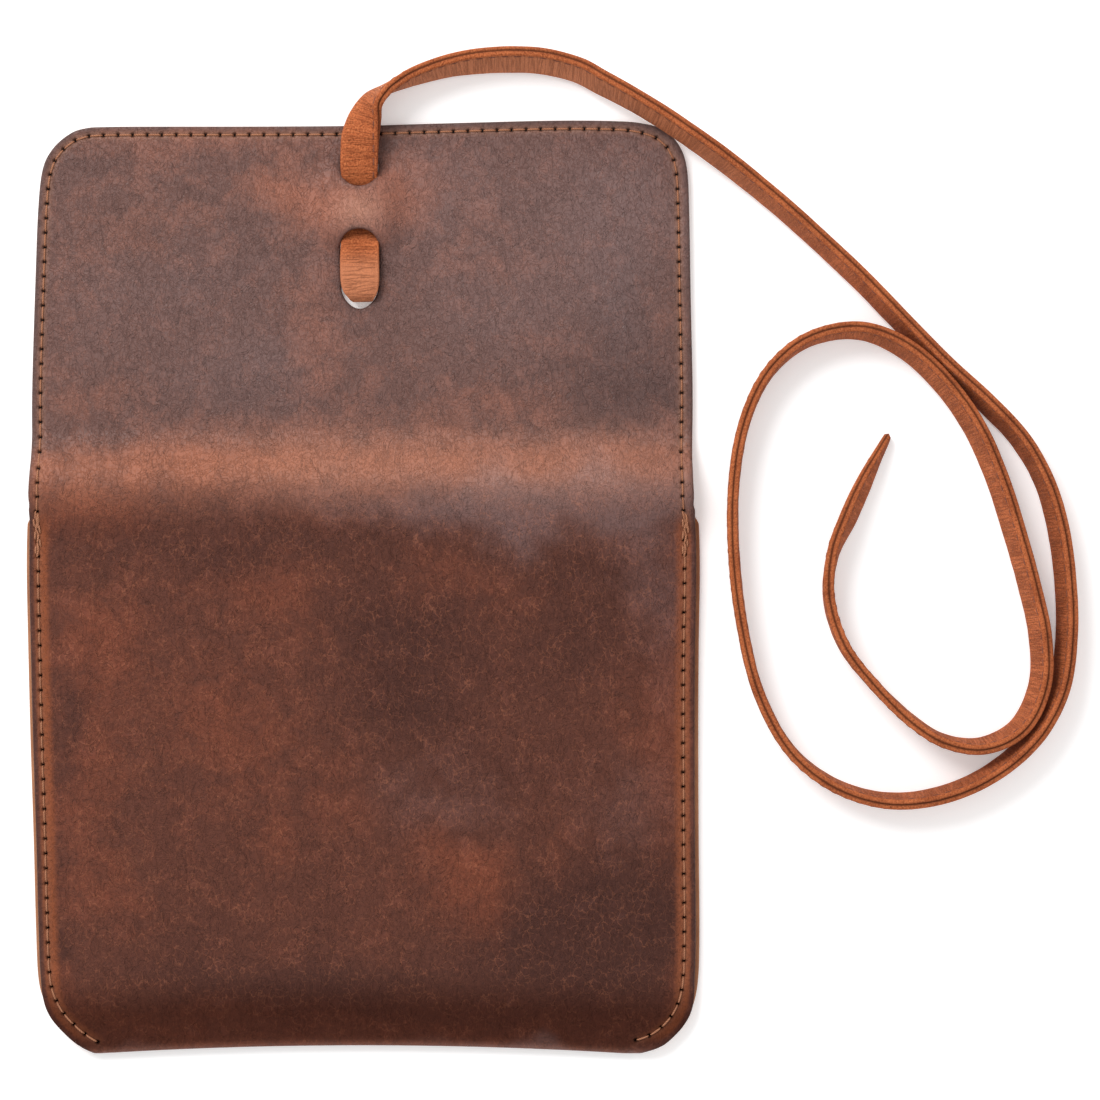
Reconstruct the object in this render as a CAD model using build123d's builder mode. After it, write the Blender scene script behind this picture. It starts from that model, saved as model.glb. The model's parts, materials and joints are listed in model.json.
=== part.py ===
from build123d import *
import os
from math import atan2, cos, degrees, radians, sin, tan

# Wrap-tie leather pouch, lying on its front with the flap opened out flat.
# Millimetres. +X across the pouch, +Y from the bottom fold towards the flap's free edge, +Z up.
# The origin is at the middle of the outline, on the surface that the pouch lies on.

# Leather
LEATHER = 1.8
LINING = 0.7
STACK = LEATHER + LINING

# Outline
HALF_WIDTH = 87.4
HALF_LENGTH = 120.9
BOTTOM_LEFT_X = -84.8
BOTTOM_CORNER = 15.0
MOUTH_Y = 18.7
FLAP_LEFT = (-86.6, -84.2)
FLAP_RIGHT = (85.8, 84.6)
FLAP_CORNER = 11.0

# Pocket: the back panel stands up from its sewn edges like a shallow tray
POCKET_RISE = 4.4
POCKET_INSET = 8.0
POCKET_CORNER = 12.0
POCKET_SLOPE = 50.0
FLANGE_TOP_Y = 21.0
LINING_INSET = 1.4

# Bottom fold: the leather turns round the lining's thickness
FOLD_RADIUS = LEATHER + LINING / 2
FOLD_BORE = LINING / 2
FOLD_Y = -HALF_LENGTH + FOLD_RADIUS

# Crease band between the back panel and the flap, with a hinge line at each side
SPINE_SLOPE = 31.0
SPINE_DROP = POCKET_RISE + LEATHER
SPINE_LENGTH = SPINE_DROP / sin(radians(SPINE_SLOPE))
SPINE_HALF_WIDTH = 86.2
SPINE_HINGE_Y = 27.9
SPINE_HINGE_Z = LEATHER + POCKET_RISE + STACK / 2
FLAP_HINGE_Y = SPINE_HINGE_Y + SPINE_LENGTH * cos(radians(SPINE_SLOPE))
FLAP_HINGE_Z = STACK / 2
HINGE_GAP = 0.15
NECK_TOP_Y = SPINE_HINGE_Y - STACK / 2 - HINGE_GAP
FLAP_START_Y = FLAP_HINGE_Y + STACK / 2 + HINGE_GAP

# Flap: two holes with a bridge between them, raised to leave room for the tie under it
TIE_X = -0.8
PATCH_RISE = 3.0
PATCH_SLOPE = 53.0
PATCH_HALF_WIDTH = 12.0
PATCH_Y = (86.0, 109.6)
PATCH_CORNER = 5.0
HOLE_WIDTH = 11.0
HOLE_ROUND = 1.5
HOLES_Y = ((72.6, 92.6), (103.9, 111.5))

# Stitching
STITCH_PITCH = 3.8
STITCH_LENGTH = 2.9
STITCH_WIDTH = 0.7
STITCH_RISE = 0.4
SEAM_INSET = 3.2
SEAM_CORNER = 11.0
BARTACK_Y = 7.4
FLAP_SEAM_INSET = 2.9
BARTACK_PITCH = 1.6
BARTACK_STITCH = 1.2
BARTACK_ROWS = 1.25
SPINE_STITCHES = 3

# Tie: a strip folded double and sewn, flat in the holes and on edge everywhere else
TIE_WIDTH = 10.0
TIE_FLAT = 2.6
TIE_EDGE = 3.2
TIE_LIFT = 3.1
THREAD_WIDTH = 0.6
THREAD_RISE = 0.3

# Points of the tie's middle line through the holes, as (y, z), from its hidden end
WEAVE_ROUTE = [
    (84.0, 1.45), (79.5, 1.40), (75.0, 1.45), (75.0, 4.60), (79.5, 4.70),
    (85.0, 4.50), (90.5, 1.45), (97.5, 1.42), (104.5, 1.50), (109.5, 4.05),
    (115.5, 4.40), (121.2, 4.38),
]  # fmt: skip

# Points of the tie's middle line on edge, as (x, y), before and after the flap's corner
RUN_ROUTE = [(14.0, 134.2), (30.3, 137.5), (47.2, 137.3), (56.0, 134.9)]
SPIRAL_ROUTE = [
    (105.7, 101.7), (129.1, 81.9), (151.9, 58.2), (168.2, 40.0), (180.1, 19.5),
    (183.2, -3.4), (182.7, -26.8), (171.2, -45.5), (148.6, -56.9), (126.0, -56.7),
    (108.3, -38.5), (98.7, -13.8), (94.8, 10.9), (96.1, 35.6), (104.7, 58.5),
    (122.9, 70.5), (141.0, 62.6), (155.9, 46.6), (166.0, 25.2), (173.3, 4.4),
    (178.0, -17.7), (171.2, -39.3), (151.2, -42.9), (131.2, -28.1), (120.3, -9.9),
    (120.3, 7.0), (127.8, 23.9), (136.6, 39.8),
]  # fmt: skip

# Upright sections of the twist and of the hump over the corner:
# middle (x, y), direction (x, y), width across, lowest z, height
TWIST_SECTIONS = [
    ((TIE_X, 121.23), (0.0, 1.0), TIE_WIDTH, 4.38 - TIE_FLAT / 2, TIE_FLAT),
    ((3.2, 128.2), (0.6, 0.8), 7.4, 1.0, 6.4),
    ((14.0, 134.2), (16.3, 3.3), TIE_EDGE, 0.0, TIE_WIDTH),
]
HUMP_SECTIONS = [
    ((56.0, 134.9), (8.8, -2.4), TIE_EDGE, 0.0, TIE_WIDTH),
    ((69.0, 128.4), (15.0, -9.0), TIE_EDGE, TIE_LIFT, TIE_WIDTH),
    ((92.0, 112.0), (14.5, -10.5), TIE_EDGE, TIE_LIFT, TIE_WIDTH),
    ((105.7, 101.7), (23.4, -19.8), TIE_EDGE, 0.0, TIE_WIDTH),
]

ARC_SHARE = 0.45

os.makedirs("parts", exist_ok=True)


def save(piece, name):
    piece.part.label = name
    export_step(piece.part, f"parts/{name}.step")


def pouch_outline(inset=0.0):
    """Outline of the pouch, which runs on past its mouth."""
    top = SPINE_HINGE_Y
    left, right = -HALF_WIDTH + inset, HALF_WIDTH - inset
    bottom = -HALF_LENGTH + inset
    corners = [(left, top), (BOTTOM_LEFT_X + inset, bottom), (right, bottom), (right, top)]
    with BuildSketch() as outline:
        with BuildLine():
            Polyline(*corners, close=True)
        make_face()
        fillet(outline.vertices().group_by(Axis.Y)[0], BOTTOM_CORNER - inset)
    return outline.sketch


def flap_outline(inset=0.0):
    top = HALF_LENGTH - inset
    corners = [
        (FLAP_LEFT[0] + inset, FLAP_START_Y),
        (FLAP_LEFT[1] + inset, top),
        (FLAP_RIGHT[1] - inset, top),
        (FLAP_RIGHT[0] - inset, FLAP_START_Y),
    ]
    with BuildSketch() as outline:
        with BuildLine():
            Polyline(*corners, close=True)
        make_face()
        fillet(outline.vertices().group_by(Axis.Y)[-1], FLAP_CORNER - inset)
    return outline.sketch


def tray(z):
    """The raised block of the pocket, standing on height z and running out past the mouth."""
    low_y, high_y = -HALF_LENGTH + POCKET_INSET, SPINE_HINGE_Y + 4 * POCKET_CORNER
    left, right = BOTTOM_LEFT_X + POCKET_INSET, HALF_WIDTH - POCKET_INSET
    with BuildPart() as block:
        with BuildSketch(Plane.XY.offset(z)):
            with Locations(((left + right) / 2, (low_y + high_y) / 2)):
                RectangleRounded(right - left, high_y - low_y, POCKET_CORNER)
        extrude(amount=POCKET_RISE, taper=POCKET_SLOPE)
    return block.part


def patch(z):
    """The raised patch of the flap round its bridge, standing on height z."""
    with BuildPart() as block:
        with BuildSketch(Plane.XY.offset(z)):
            with Locations((TIE_X, sum(PATCH_Y) / 2)):
                RectangleRounded(2 * PATCH_HALF_WIDTH, PATCH_Y[1] - PATCH_Y[0], PATCH_CORNER)
        extrude(amount=PATCH_RISE, taper=PATCH_SLOPE)
    return block.part


def holes():
    """What the two holes for the tie take out of the flap."""
    with BuildPart() as block:
        with BuildSketch(Plane.XY):
            for low, high in HOLES_Y:
                with Locations((TIE_X, (low + high) / 2)):
                    RectangleRounded(HOLE_WIDTH, high - low, HOLE_ROUND)
        extrude(amount=4 * STACK)
    return block.part


def neck(z, thickness):
    """The strip of a panel or lining just before the crease, level over its whole width."""
    with BuildPart() as block:
        with BuildSketch(Plane.XY.offset(z)):
            with Locations((0, (FLANGE_TOP_Y + NECK_TOP_Y) / 2)):
                Rectangle(2 * SPINE_HALF_WIDTH, NECK_TOP_Y - FLANGE_TOP_Y)
        extrude(amount=thickness)
    return block.part


def beyond(y, way):
    """The plane square to Y at y, facing +Y or -Y, for cutting a part off there."""
    return Plane(origin=(0, y, 0), z_dir=(0, way, 0))


def spine_layer(low, high):
    """A slice of the crease band between two heights above its middle, with round hinge edges."""
    with BuildPart() as layer:
        with BuildSketch(spine_plane):
            SlotCenterToCenter(SPINE_LENGTH, STACK)
            with Locations((0, (low + high) / 2)):
                Rectangle(SPINE_LENGTH + 2 * STACK, high - low, mode=Mode.INTERSECT)
        extrude(amount=2 * SPINE_HALF_WIDTH)
    return layer.part


def stitches_along(points, radius, pitch, length):
    """Stitches end to end along a line with rounded corners."""
    with BuildLine() as seam:
        if len(points) > 2:
            FilletPolyline(*points, radius=radius)
        else:
            Line(*points)
    line = seam.wires()[0]
    count = int(line.length / pitch)
    with BuildSketch() as row:
        for i in range(count):
            share = (i + 0.5) / count
            spot, way = line.position_at(share), line.tangent_at(share)
            with Locations((spot.X, spot.Y)):
                SlotOverall(length, STITCH_WIDTH, rotation=degrees(atan2(way.Y, way.X)))
    return row.sketch


def arc_radii(points):
    """Radius of the arc at each inner point of a route, as large as its two runs allow."""
    radii = []
    for before, here, after in zip(points, points[1:], points[2:]):
        first = Vector(*here) - Vector(*before)
        second = Vector(*after) - Vector(*here)
        half_turn = radians(first.get_angle(second) / 2)
        radii.append(ARC_SHARE * min(first.length, second.length) / tan(half_turn))
    return radii


def strip(plane, points, thickness, depth, name=None):
    """A strip of constant thickness along a flat route, extruded across it."""
    radii = arc_radii(points)
    with BuildPart() as block:
        with BuildSketch(plane):
            with BuildLine() as middle:
                FilletPolyline(*points, radius=radii)
            trace(line_width=thickness)
        extrude(amount=depth)
    if name:
        length = middle.wires()[0].length
        share = block.part.volume / (length * thickness * depth)
        print(name, "radii", [round(r, 1) for r in radii])
        print(name, "length", round(length, 1), "volume over section x length", round(share, 4))
    return block.part


def upright_sections(sections):
    """A block through upright rectangles, straight from each to the next."""
    with BuildPart() as block:
        for (x, y), (dx, dy), width, low, height in sections:
            plane = Plane(
                origin=(x, y, low + height / 2), x_dir=(dy, -dx, 0), z_dir=(dx, dy, 0)
            )
            with BuildSketch(plane):
                Rectangle(width, height)
        loft(ruled=True)
    return block.part


spine_plane = Plane(
    origin=(
        -SPINE_HALF_WIDTH,
        (SPINE_HINGE_Y + FLAP_HINGE_Y) / 2,
        (SPINE_HINGE_Z + FLAP_HINGE_Z) / 2,
    ),
    x_dir=(0, cos(radians(SPINE_SLOPE)), -sin(radians(SPINE_SLOPE))),
    z_dir=(1, 0, 0),
)

# Pouch body

with BuildPart() as front_panel:
    with BuildSketch(Plane.XY):
        add(pouch_outline())
    extrude(amount=LEATHER)
    split(bisect_by=beyond(FOLD_Y, 1), keep=Keep.TOP)
    split(bisect_by=beyond(MOUTH_Y, 1), keep=Keep.BOTTOM)
save(front_panel, "front_panel")

with BuildPart() as bottom_fold:
    with BuildSketch(Plane.YZ.offset(-HALF_WIDTH)):
        with Locations((FOLD_Y, FOLD_RADIUS)):
            Circle(FOLD_RADIUS)
            Circle(FOLD_BORE, mode=Mode.SUBTRACT)
            Rectangle(
                FOLD_RADIUS, 2 * FOLD_RADIUS, align=(Align.MAX, Align.CENTER), mode=Mode.INTERSECT
            )
    extrude(amount=2 * HALF_WIDTH)
    with BuildSketch(Plane.XY):
        add(pouch_outline())
    extrude(amount=2 * FOLD_RADIUS, mode=Mode.INTERSECT)
save(bottom_fold, "bottom_fold")

with BuildPart() as back_panel:
    with BuildSketch(Plane.XY.offset(STACK)):
        add(pouch_outline())
    extrude(amount=LEATHER)
    add(tray(STACK + LEATHER))
    add(tray(STACK), mode=Mode.SUBTRACT)
    split(bisect_by=beyond(FOLD_Y, 1), keep=Keep.TOP)
    split(bisect_by=beyond(FLANGE_TOP_Y, 1), keep=Keep.BOTTOM)
    add(neck(STACK + POCKET_RISE, LEATHER))
save(back_panel, "back_panel")

with BuildPart() as back_lining:
    with BuildSketch(Plane.XY.offset(LEATHER)):
        add(pouch_outline(LINING_INSET))
    extrude(amount=LINING)
    add(tray(STACK))
    add(tray(LEATHER), mode=Mode.SUBTRACT)
    split(bisect_by=beyond(FOLD_Y, 1), keep=Keep.TOP)
    split(bisect_by=beyond(FLANGE_TOP_Y, 1), keep=Keep.BOTTOM)
    add(neck(LEATHER + POCKET_RISE, LINING))
save(back_lining, "back_lining")

# Side seams run up each edge from round the bottom corner, and end at the mouth in a bartack
seam_bottom = -HALF_LENGTH + SEAM_INSET
SIDES = {
    "left": [
        (-HALF_WIDTH + SEAM_INSET, BARTACK_Y),
        (BOTTOM_LEFT_X + SEAM_INSET, seam_bottom),
        (BOTTOM_LEFT_X + BOTTOM_CORNER, seam_bottom),
    ],
    "right": [
        (HALF_WIDTH - SEAM_INSET, BARTACK_Y),
        (HALF_WIDTH - SEAM_INSET, seam_bottom),
        (HALF_WIDTH - BOTTOM_CORNER, seam_bottom),
    ],
}
for side, points in SIDES.items():
    with BuildPart() as side_stitching:
        with BuildSketch(Plane.XY.offset(STACK + LEATHER)):
            add(stitches_along(points, SEAM_CORNER, STITCH_PITCH, STITCH_LENGTH))
        extrude(amount=STITCH_RISE)
    save(side_stitching, f"side_stitching_{side}")

    with BuildPart() as bartack:
        with BuildSketch(Plane.XY.offset(STACK + LEATHER)):
            for offset_x in (-BARTACK_ROWS, 0.0, BARTACK_ROWS):
                x = points[0][0] + offset_x
                row = [(x, BARTACK_Y), (x, MOUTH_Y)]
                add(stitches_along(row, 0, BARTACK_PITCH, BARTACK_STITCH))
        extrude(amount=STITCH_RISE)
    save(bartack, f"mouth_bartack_{side}")

# Crease band

with BuildPart() as spine_band:
    add(spine_layer(STACK / 2 - LEATHER, STACK / 2))
save(spine_band, "spine_band")

with BuildPart() as spine_lining:
    add(spine_layer(-STACK / 2, STACK / 2 - LEATHER))
save(spine_lining, "spine_lining")

with BuildPart() as spine_stitching:
    slope_top = Plane(
        origin=spine_plane.origin + spine_plane.y_dir * (STACK / 2),
        x_dir=(1, 0, 0),
        z_dir=spine_plane.y_dir,
    )
    with BuildSketch(slope_top):
        with Locations((SPINE_HALF_WIDTH, 0)):
            with GridLocations(
                2 * (SPINE_HALF_WIDTH - FLAP_SEAM_INSET), STITCH_PITCH, 2, SPINE_STITCHES
            ):
                SlotOverall(STITCH_LENGTH, STITCH_WIDTH, rotation=90)
    extrude(amount=STITCH_RISE)
save(spine_stitching, "spine_stitching")

# Flap

with BuildPart() as flap_panel:
    with BuildSketch(Plane.XY.offset(LINING)):
        add(flap_outline())
    extrude(amount=LEATHER)
    add(patch(STACK))
    add(patch(LINING), mode=Mode.SUBTRACT)
    add(holes(), mode=Mode.SUBTRACT)
save(flap_panel, "flap_panel")

with BuildPart() as flap_lining:
    with BuildSketch(Plane.XY):
        add(flap_outline(LINING_INSET))
    extrude(amount=LINING)
    add(patch(LINING))
    add(patch(0), mode=Mode.SUBTRACT)
    add(holes(), mode=Mode.SUBTRACT)
save(flap_lining, "flap_lining")

with BuildPart() as flap_stitching:
    top_y = HALF_LENGTH - FLAP_SEAM_INSET
    seam_points = [
        (FLAP_LEFT[0] + FLAP_SEAM_INSET, FLAP_START_Y),
        (FLAP_LEFT[1] + FLAP_SEAM_INSET, top_y),
        (FLAP_RIGHT[1] - FLAP_SEAM_INSET, top_y),
        (FLAP_RIGHT[0] - FLAP_SEAM_INSET, FLAP_START_Y),
    ]
    with BuildSketch(Plane.XY.offset(STACK)):
        add(
            stitches_along(
                seam_points, FLAP_CORNER - FLAP_SEAM_INSET, STITCH_PITCH, STITCH_LENGTH
            )
        )
    extrude(amount=STITCH_RISE)
save(flap_stitching, "flap_stitching")

# Tie

with BuildPart() as tie_weave:
    side_plane = Plane.YZ.offset(TIE_X - TIE_WIDTH / 2)
    add(strip(side_plane, WEAVE_ROUTE, TIE_FLAT, TIE_WIDTH, "tie_weave"))
save(tie_weave, "tie_weave")

with BuildPart() as tie_twist:
    add(upright_sections(TWIST_SECTIONS))
save(tie_twist, "tie_twist")

with BuildPart() as tie_run:
    add(strip(Plane.XY, RUN_ROUTE, TIE_EDGE, TIE_WIDTH, "tie_run"))
save(tie_run, "tie_run")

with BuildPart() as tie_hump:
    add(upright_sections(HUMP_SECTIONS))
save(tie_hump, "tie_hump")

with BuildPart() as tie_spiral:
    add(strip(Plane.XY, SPIRAL_ROUTE, TIE_EDGE, TIE_WIDTH, "tie_spiral"))
save(tie_spiral, "tie_spiral")

with BuildPart() as tie_thread:
    top_plane = Plane.XY.offset(TIE_WIDTH)
    add(strip(top_plane, RUN_ROUTE, THREAD_WIDTH, THREAD_RISE))
    add(strip(top_plane, SPIRAL_ROUTE, THREAD_WIDTH, THREAD_RISE))
save(tie_thread, "tie_thread")
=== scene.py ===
"""Wrap-tie leather pouch, lying on its front with its flap open: the looks, built round the CAD
frame."""

import json
import math

import bpy
import numpy as np
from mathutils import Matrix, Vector, noise
from mathutils.geometry import delaunay_2d_cdt


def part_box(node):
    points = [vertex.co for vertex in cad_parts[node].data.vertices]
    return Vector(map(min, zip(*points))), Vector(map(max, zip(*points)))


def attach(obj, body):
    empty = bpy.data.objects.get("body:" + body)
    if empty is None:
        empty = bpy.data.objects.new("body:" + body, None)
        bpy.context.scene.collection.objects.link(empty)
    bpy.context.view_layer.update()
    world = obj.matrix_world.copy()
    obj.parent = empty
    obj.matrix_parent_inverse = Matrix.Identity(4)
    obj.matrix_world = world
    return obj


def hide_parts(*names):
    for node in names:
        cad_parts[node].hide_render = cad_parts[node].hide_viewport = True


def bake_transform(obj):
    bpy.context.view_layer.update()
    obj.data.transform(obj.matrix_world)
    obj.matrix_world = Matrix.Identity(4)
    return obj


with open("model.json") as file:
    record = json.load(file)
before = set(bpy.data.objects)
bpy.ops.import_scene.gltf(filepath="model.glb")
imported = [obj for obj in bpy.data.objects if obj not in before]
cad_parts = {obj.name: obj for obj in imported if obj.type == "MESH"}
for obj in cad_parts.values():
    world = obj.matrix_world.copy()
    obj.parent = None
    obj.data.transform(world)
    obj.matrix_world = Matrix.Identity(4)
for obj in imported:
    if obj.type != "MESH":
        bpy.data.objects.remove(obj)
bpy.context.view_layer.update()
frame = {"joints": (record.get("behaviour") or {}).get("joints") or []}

# Everything is worked out in millimetres in the row frame, and scaled as each mesh is made.
MM = 0.001
JOINT_AT = {j["name"]: [p / MM for p in j["pos_m"]] for j in frame["joints"]}


def node_box(node):
    """The low and high corners of a CAD node."""
    low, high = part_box(node)
    return np.array(low) / MM, np.array(high) / MM


# Sizes that the CAD model sets

FRONT_LOW, FRONT_HIGH = node_box("front_panel")
LEATHER = FRONT_HIGH[2]
LINING = node_box("flap_panel")[0][2] - node_box("flap_lining")[0][2]
STACK = LEATHER + LINING
SEAM_TOP = STACK + LEATHER
FOLD_R = SEAM_TOP / 2
FOLD_Y, MOUTH_Y = FRONT_LOW[1], FRONT_HIGH[1]
# The pouch's cut leather is measured by v: y on the back panel, running on round the bottom fold
# and up the front panel, which starts at FRONT_V.
FRONT_V = FOLD_Y - math.pi * FOLD_R
CROWN = node_box("back_panel")[1][2]
LOW_HINGE, HIGH_HINGE = JOINT_AT["spine_fold"][1], JOINT_AT["flap_fold"][1]
CUT_Y = (LOW_HINGE + HIGH_HINGE) / 2
TIE_X = -0.8

# Outlines of the cut leather, as points in order for a smooth curve

OUTLINE_STEP = 0.7
FLAP_EDGE = [
    (-85.7, CUT_Y), (-85.8, 50), (-84.9, 80), (-84.2, 98), (-83.1, 108), (-80.8, 113.1),
    (-77, 116.8), (-72.5, 118.8), (-64, 119.3), (-30, 119.4), (-2, 119.6), (20, 120.2),
    (48, 120.9), (65, 120.8), (72.5, 120.2), (78, 118.5), (82, 114.5), (84, 108.6), (84.6, 98),
    (85, 75), (85.5, 50), (85.3, CUT_Y),
]
LEFT_EDGE = [
    (-85.7, CUT_Y), (-85.9, 27), (-86.2, 21.5), (-87, 18), (-87.3, 5), (-86.9, -16), (-86.3, -40),
    (-85.5, -65), (-84.9, -88), (-84.3, -101), (-82.9, -107), (-80.4, -111.8), (-76.6, -116),
    (-73.2, -118.8), (-69.6, -121),
]
RIGHT_EDGE = [
    (85.3, CUT_Y), (85.5, 27), (85.9, 21.5), (87, 18), (87.4, 5), (87.1, -16), (87, -40),
    (87.1, -65), (87.3, -88), (87, -101), (85.8, -108), (83.4, -113), (79.8, -117), (76.4, -119.4),
    (72, -121),
]
BOTTOM_BOW = 2.1
BOW_HALF_WIDTH = 68.0
BACK_INSET = 1.1

# Stitching
PITCH = 3.8
SIDE_INSETS = {-1: 3.4, 1: 4.0}
FLAP_INSET, FLAP_INSET_MORE = 2.2, 0.65
HOLE_R = 0.46
HOLE_DEEP = 0.9
THREAD_R = 0.22

# Holes in the flap for the tie: middle y, half length along Y, half width, how much narrower the
# lower end is
BIG_HOLE = (82.3, 10.2, 5.0, 0.24)
SMALL_HOLE = (109.0, 5.2, 4.75, 0.0)
LINED_GAP = 0.35

# Making the sheets: how far apart their points are, and the rings of closer points at an edge, at
# a hole for the tie and at a stitch hole (radius, turn in radians)
LEATHER_SPACING = 1.15
EDGE_INSETS = (0.12, 0.3, 0.6, 1.0, 1.5, 2.0, 2.6, 3.2, 4.0)
EDGE_ROUND = 0.6
HOLE_STEP, HOLE_RING_STEP = 0.45, 0.6
HOLE_RINGS, HOLE_CLEAR = (0.2, 0.5, 0.9, 1.5), 1.9
PIT_RINGS, PIT_CLEAR = ((0.22, 0), (0.42, 0.39), (0.62, 0), (0.9, 0.39)), 1.05
# How many points are compared with a line at once
CHUNK = 4000
# How far the underside is from the outer side in the materials' noise
UNDERSIDE = 40.0


# Small tools


def smooth(low, high, value):
    """0 before low and 1 past high, with a soft step between. low may be the larger."""
    t = np.clip((np.asarray(value, float) - low) / (high - low), 0, 1)
    return t * t * (3 - 2 * t)


def curve_through(points, step):
    """Points about step apart along a smooth curve through the given ones."""
    p = np.array(points, float)
    p = np.vstack([2 * p[0] - p[1], p, 2 * p[-1] - p[-2]])
    out = []
    for a, b, c, d in zip(p, p[1:], p[2:], p[3:]):
        count = max(1, int(np.linalg.norm(c - b) / step * 4))
        for t in np.linspace(0, 1, count, endpoint=False):
            out.append(
                0.5 * (2 * b + (c - a) * t + (2 * a - 5 * b + 4 * c - d) * t**2
                       + (3 * b - a - 3 * c + d) * t**3)
            )
    out.append(p[-2])
    return even(np.array(out), step)


def unit(rows):
    """Each row scaled to length 1."""
    return rows / np.linalg.norm(rows, axis=1)[:, None]


def direction(line):
    """Unit vectors along a line, at each of its points."""
    return unit(np.gradient(line, axis=0))


def run_of(line):
    """How far along a line each of its points is."""
    return np.r_[0, np.cumsum(np.linalg.norm(np.diff(line, axis=0), axis=1))]


def sample(at, along, rows):
    """The values of rows, which lie at along, at some other places."""
    return np.column_stack([np.interp(at, along, column) for column in rows.T])


def with_last(rows, value):
    """The rows with one more column, all of it value."""
    return np.column_stack([rows, np.full(len(rows), value)])


def even(line, step):
    """The same line with its points evenly spaced, about step apart."""
    along = run_of(line)
    count = max(2, int(round(along[-1] / step)) + 1)
    return sample(np.linspace(0, along[-1], count), along, line)


def inward(line, distance):
    """The line moved sideways, to the right of its direction."""
    way = direction(line)
    return line + distance * np.column_stack([way[:, 1], -way[:, 0]])


def in_parts(measure, points):
    """What measure gives for many points, a chunk of them at a time."""
    parts = [points[i:i + CHUNK] for i in range(0, len(points), CHUNK)]
    return np.concatenate([measure(part) for part in parts])


def distance_to(points, line):
    """Distance of each point from a polyline."""
    a, ab = line[:-1], np.diff(line, axis=0)
    length2 = (ab**2).sum(1)

    def measure(part):
        p = part[:, None] - a
        t = np.clip((p * ab).sum(2) / length2, 0, 1)
        return np.sqrt(((p - t[..., None] * ab) ** 2).sum(2).min(1))

    return in_parts(measure, points)


def distance_to_nearest(points, centres):
    """Distance of each point from the nearest centre."""
    away = np.full(len(points), np.inf)
    for centre in centres:
        away = np.minimum(away, np.hypot(*(points - centre).T))
    return away


def inside(points, loop):
    """Whether each point lies inside a closed outline."""
    a, b = loop.T[..., None], np.roll(loop, -1, axis=0).T[..., None]

    def measure(part):
        x, y = part.T
        with np.errstate(divide="ignore", invalid="ignore"):
            cross = (b[0] - a[0]) * (y - a[1]) / (b[1] - a[1]) + a[0]
        return (((a[1] > y) != (b[1] > y)) & (x < cross)).sum(0) % 2 == 1

    return in_parts(measure, points)


def wave(x, y, size, seed):
    """Smooth noise from -1 to 1 over the leather, with humps about size apart."""
    return np.array([noise.noise(Vector((a / size, b / size, seed))) for a, b in zip(x, y)])


def blobs(x, y, spots):
    """The sum of soft-edged spots."""
    total = np.zeros(len(x))
    for cx, cy, rx, ry, strength, turn in ((*spot, 0)[:6] for spot in spots):
        c, s = math.cos(math.radians(turn)), math.sin(math.radians(turn))
        u = ((x - cx) * c + (y - cy) * s) / rx
        w = (-(x - cx) * s + (y - cy) * c) / ry
        total += strength * np.exp(-(u * u + w * w))
    return total


# The shape of the leather's outer surface

HALF_WIDTH = 86
# The crease comes down from the pocket to the flap's level between these y.
CREASE_FALL = (26.3, 41.2)
# The raised bridge between the holes: where its height starts and ends rising and falling in y
BRIDGE_RISE, BRIDGE_FALL = (86.0, 93.0), (103.4, 110.5)
BRIDGE_HALF_WIDTH, BRIDGE_HEIGHT = 8.6, 3.1


def ridge(x, y):
    """Height of the leather over the crease: high at the pocket side, on the table at the flap."""
    top = CROWN - 0.35 - 1.3 * np.abs(x / HALF_WIDTH) ** 6
    lip = 0.25 * np.exp(-(((y - 24) / 4) ** 2))
    return STACK + (top + lip - STACK) * (1 - smooth(*CREASE_FALL, y))


def pocket(x, y, edge):
    """Height of the back panel, from its distance to the sewn edge."""
    rise = 0.62 * smooth(1.5, 17, edge) + 0.38 * smooth(10, 52, edge)
    full = CROWN - 0.3 - 0.7 * smooth(-10, -95, y)
    height = SEAM_TOP + (full - SEAM_TOP) * rise
    return height + 0.30 * wave(x, y, 34, 3.1) * smooth(6, 30, edge)


def flap_height(x, y):
    """Height of the flap: flat on the table, raised where the tie passes under its bridge."""
    across = np.exp(-(((x - TIE_X) / BRIDGE_HALF_WIDTH) ** 4) * 0.55)
    along = smooth(*BRIDGE_RISE, y) * (1 - smooth(*BRIDGE_FALL, y))
    bulge = BRIDGE_HEIGHT * across * along
    rest = 0.28 * np.clip(wave(x, y, 40, 8.3) + 0.35, 0, 2) * smooth(40, 55, y)
    rims = 0.35 * np.exp(-((np.hypot((x - TIE_X) / 9, (y - 83) / 13) - 1) ** 2) * 6)
    return STACK + bulge + rest + rims * smooth(70, 74, y)


LEFT = curve_through(LEFT_EDGE, OUTLINE_STEP)
RIGHT = curve_through(RIGHT_EDGE, OUTLINE_STEP)


def bow(x):
    """How much further in the bottom fold is here than at its ends."""
    return BOTTOM_BOW * np.clip(1 - (x / BOW_HALF_WIDTH) ** 2, 0, 1)


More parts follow.
